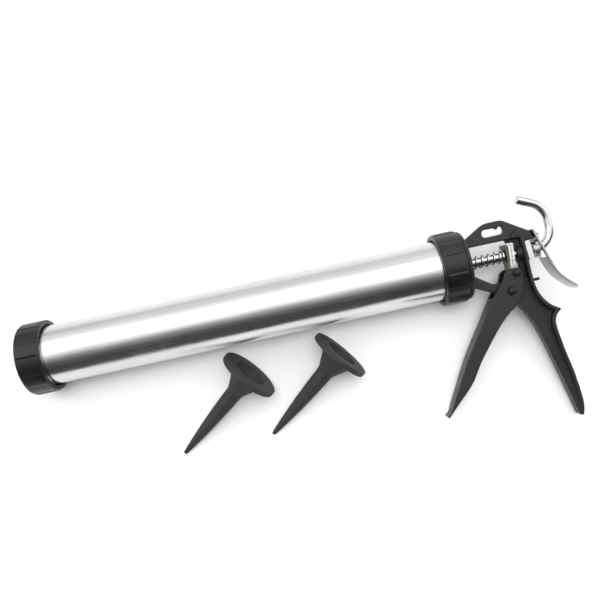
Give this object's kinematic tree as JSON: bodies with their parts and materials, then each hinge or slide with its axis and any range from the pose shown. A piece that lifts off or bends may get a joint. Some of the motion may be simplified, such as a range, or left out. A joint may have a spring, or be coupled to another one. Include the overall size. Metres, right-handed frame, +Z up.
{
  "type": "caulking gun",
  "caption": "Barrel caulking gun lying on its side: ribbed end caps, polished tube, cast frame, trigger and hooked rod, with loose nozzles beside it.",
  "frame": {"origin": "on the ground, under the middle of the whole outline, nozzles included", "axes": "+X along the barrel, from the nozzle end to the hook; +Z up from the ground the gun lies on; +Y the side the arch points to"},
  "size_m": [0.511, 0.2094, 0.0678],
  "materials": {
    "tube_aluminium": "polished, fine scratches along and round the tube",
    "cap_plastic": "satin moulded black",
    "cast_black": "satin black coat on a casting",
    "trigger_black": "satin black coat",
    "rod_steel": "bright plated rod",
    "plate_zinc": "bright zinc",
    "lever_zinc": "bright zinc, pressed",
    "pusher_olive": "passivated zinc, olive",
    "spring_steel": "zinc plated wire",
    "fastener_steel": "zinc plated",
    "rivet_black": "blackened steel",
    "piston_rubber": "moulded",
    "nozzle_plastic": "matte moulded dark grey"
  },
  "bodies": {
    "gun": {"barrel_tube": "tube_aluminium", "rear_cap": "cap_plastic", "frame": "cast_black", "frame_screw_1": "fastener_steel", "frame_screw_2": "fastener_steel", "frame_screw_3": "fastener_steel", "trigger_pivot_pin": "rivet_black", "stop_pin": "rivet_black", "return_spring": "spring_steel", "release_spring": "spring_steel"},
    "front_cap": {"front_cap": "cap_plastic"},
    "trigger": {"trigger": "trigger_black", "trigger_roller_pin": "rivet_black", "trigger_roller": "fastener_steel"},
    "grip_plates": {"pusher_plate": "pusher_olive", "grip_plate_front": "plate_zinc", "grip_plate_rear": "plate_zinc"},
    "piston": {"piston_cup": "piston_rubber", "piston_front_plate": "fastener_steel", "piston_rear_plate": "fastener_steel"},
    "rod": {"rod": "rod_steel", "rod_nut_front": "fastener_steel", "rod_nut_rear": "fastener_steel"},
    "lock_plate": {"lock_plate": "plate_zinc"},
    "release_lever": {"release_lever": "lever_zinc"},
    "nozzle_1": {"nozzle_1": "nozzle_plastic"},
    "nozzle_2": {"nozzle_2": "nozzle_plastic"}
  },
  "joints": [
    {"name": "trigger_pull", "type": "hinge", "parent": "gun", "child": "trigger", "pos_m": [0.19295, 0.02036, 0.02824], "axis": [0, -0.1736, 0.9848], "range_deg": [0, 38], "stiffness_Nm_per_rad": 0.28, "springref_deg": -17.19},
    {"name": "grip_plates_slide", "type": "slide", "parent": "gun", "child": "grip_plates", "axis": [-1, 0, 0], "range_m": [0, 0.0112], "deforming": ["return_spring"]},
    {"name": "rod_slide", "type": "slide", "parent": "gun", "child": "piston", "axis": [1, 0, 0], "range_m": [0, 0.36]},
    {"name": "rod_turn", "type": "hinge", "parent": "piston", "child": "rod", "pos_m": [0.14805, 0.05247, 0.0339], "axis": [1, 0, 0], "range_deg": [-150, 150]},
    {"name": "release_press", "type": "hinge", "parent": "gun", "child": "release_lever", "pos_m": [0.22365, 0.06232, 0.03564], "axis": [0, 0.1736, -0.9848], "range_deg": [0, 12], "stiffness_Nm_per_rad": 0.1, "springref_deg": -14.32, "deforming": ["release_spring"]},
    {"name": "lock_plate_rock", "type": "hinge", "parent": "gun", "child": "lock_plate", "pos_m": [0.21435, 0.06202, 0.03558], "axis": [0, 0.1736, -0.9848], "range_deg": [0, 3.1]},
    {"name": "front_cap_off", "type": "slide", "parent": "gun", "child": "front_cap", "axis": [-1, 0, 0], "range_m": [0, 0.03]},
    {"name": "nozzle_1_lift", "type": "slide", "parent": "gun", "child": "nozzle_1", "axis": [0, 0, 1], "range_m": [0, 0.1]},
    {"name": "nozzle_2_lift", "type": "slide", "parent": "gun", "child": "nozzle_2", "axis": [0, 0, 1], "range_m": [0, 0.1]}
  ],
  "couplings": [
    {"joint": "grip_plates_slide", "follows": "trigger_pull", "m_per_rad": 0.016632},
    {"joint": "lock_plate_rock", "follows": "release_press", "ratio": 0.25}
  ]
}
